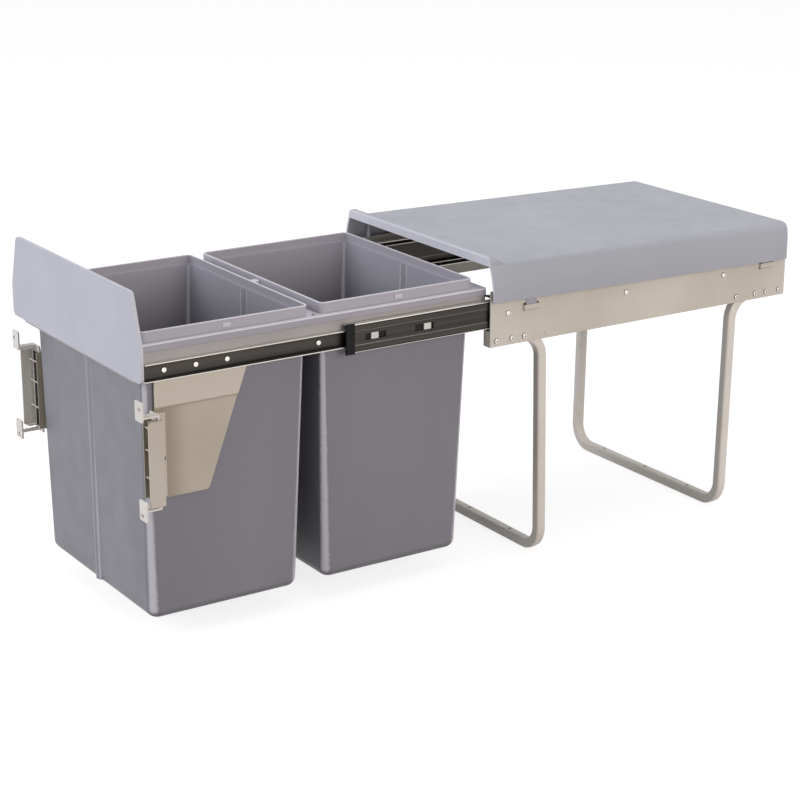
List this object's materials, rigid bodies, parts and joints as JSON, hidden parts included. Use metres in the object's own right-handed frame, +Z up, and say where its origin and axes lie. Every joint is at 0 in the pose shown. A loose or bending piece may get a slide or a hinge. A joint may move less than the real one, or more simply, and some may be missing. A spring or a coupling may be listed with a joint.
{
  "type": "pull-out bin frame",
  "caption": "Pull-out bin frame for a base cabinet: leg-mounted top cover and ball slides carry a drawer with two lift-out bins and door brackets.",
  "frame": {"origin": "on the floor, midway across and midway between the door brackets and the back, with the drawer fully open", "axes": "+Z up, -Y towards the cabinet door, +X to the right seen from the door; the drawer closes along +Y"},
  "size_m": [0.353, 0.942, 0.4185],
  "materials": {
    "cream_steel": "satin powder coat",
    "grey_steel": "satin paint",
    "cover_plastic": "fine satin",
    "tray_plastic": "fine satin",
    "bin_plastic": "fine satin",
    "zinc_steel": "zinc plated",
    "bright_steel": "plated",
    "black_plastic": "satin",
    "white_plastic": "satin"
  },
  "bodies": {
    "frame": {"leg_front": "cream_steel", "leg_rear": "cream_steel", "side_plate_right": "cream_steel", "side_plate_left": "cream_steel", "top_cover": "cover_plastic", "outer_slide_right": "zinc_steel", "outer_slide_left": "zinc_steel", "slide_bumpers": "black_plastic", "leg_screws": "bright_steel", "plate_rivets": "cream_steel", "slide_rivets": "bright_steel"},
    "drawer": {"inner_slide_right": "zinc_steel", "inner_slide_left": "zinc_steel", "drawer_rivets": "bright_steel", "carrier_frame": "grey_steel", "bin_tray": "tray_plastic", "tray_post": "tray_plastic", "front_panel": "cover_plastic", "panel_screws": "bright_steel", "bracket_plate_right": "cream_steel", "bracket_plate_left": "cream_steel", "bracket_holder_right": "cream_steel", "bracket_holder_left": "cream_steel", "bracket_pins": "cream_steel", "bracket_covers": "black_plastic", "holder_screws": "bright_steel", "adjuster_screws": "bright_steel"},
    "middle_member_right": {"middle_slide_right": "zinc_steel", "slide_clip_right": "black_plastic", "latch_tabs_right": "white_plastic"},
    "outer_cage_right": {"outer_cage_right": "zinc_steel", "outer_balls_right": "bright_steel"},
    "inner_cage_right": {"inner_cage_right": "zinc_steel", "inner_balls_right": "bright_steel"},
    "middle_member_left": {"middle_slide_left": "zinc_steel", "slide_clip_left": "black_plastic", "latch_tabs_left": "white_plastic"},
    "outer_cage_left": {"outer_cage_left": "zinc_steel", "outer_balls_left": "bright_steel"},
    "inner_cage_left": {"inner_cage_left": "zinc_steel", "inner_balls_left": "bright_steel"},
    "door_bracket_right": {"door_bracket_right": "cream_steel"},
    "door_bracket_left": {"door_bracket_left": "cream_steel"},
    "bin_front": {"bin_front": "bin_plastic"},
    "bin_rear": {"bin_rear": "bin_plastic"}
  },
  "joints": [
    {"name": "drawer_slide", "type": "slide", "parent": "frame", "child": "drawer", "axis": [0, 1, 0], "range_m": [0, 0.46]},
    {"name": "middle_member_right_slide", "type": "slide", "parent": "frame", "child": "middle_member_right", "axis": [0, 1, 0], "range_m": [0, 0.23]},
    {"name": "outer_cage_right_slide", "type": "slide", "parent": "frame", "child": "outer_cage_right", "axis": [0, 1, 0], "range_m": [0, 0.115]},
    {"name": "inner_cage_right_slide", "type": "slide", "parent": "frame", "child": "inner_cage_right", "axis": [0, 1, 0], "range_m": [0, 0.345]},
    {"name": "middle_member_left_slide", "type": "slide", "parent": "frame", "child": "middle_member_left", "axis": [0, 1, 0], "range_m": [0, 0.23]},
    {"name": "outer_cage_left_slide", "type": "slide", "parent": "frame", "child": "outer_cage_left", "axis": [0, 1, 0], "range_m": [0, 0.115]},
    {"name": "inner_cage_left_slide", "type": "slide", "parent": "frame", "child": "inner_cage_left", "axis": [0, 1, 0], "range_m": [0, 0.345]},
    {"name": "door_height_right", "type": "slide", "parent": "drawer", "child": "door_bracket_right", "axis": [0, 0, 1], "range_m": [-0.002, 0.002]},
    {"name": "door_height_left", "type": "slide", "parent": "drawer", "child": "door_bracket_left", "axis": [0, 0, 1], "range_m": [-0.002, 0.002]},
    {"name": "bin_front_lift", "type": "slide", "parent": "drawer", "child": "bin_front", "axis": [0, 0, 1], "range_m": [0, 0.004]},
    {"name": "bin_rear_lift", "type": "slide", "parent": "drawer", "child": "bin_rear", "axis": [0, 0, 1], "range_m": [0, 0.004]}
  ],
  "couplings": [
    {"joint": "middle_member_right_slide", "follows": "drawer_slide", "ratio": 0.5},
    {"joint": "outer_cage_right_slide", "follows": "drawer_slide", "ratio": 0.25},
    {"joint": "inner_cage_right_slide", "follows": "drawer_slide", "ratio": 0.75},
    {"joint": "middle_member_left_slide", "follows": "drawer_slide", "ratio": 0.5},
    {"joint": "outer_cage_left_slide", "follows": "drawer_slide", "ratio": 0.25},
    {"joint": "inner_cage_left_slide", "follows": "drawer_slide", "ratio": 0.75}
  ]
}
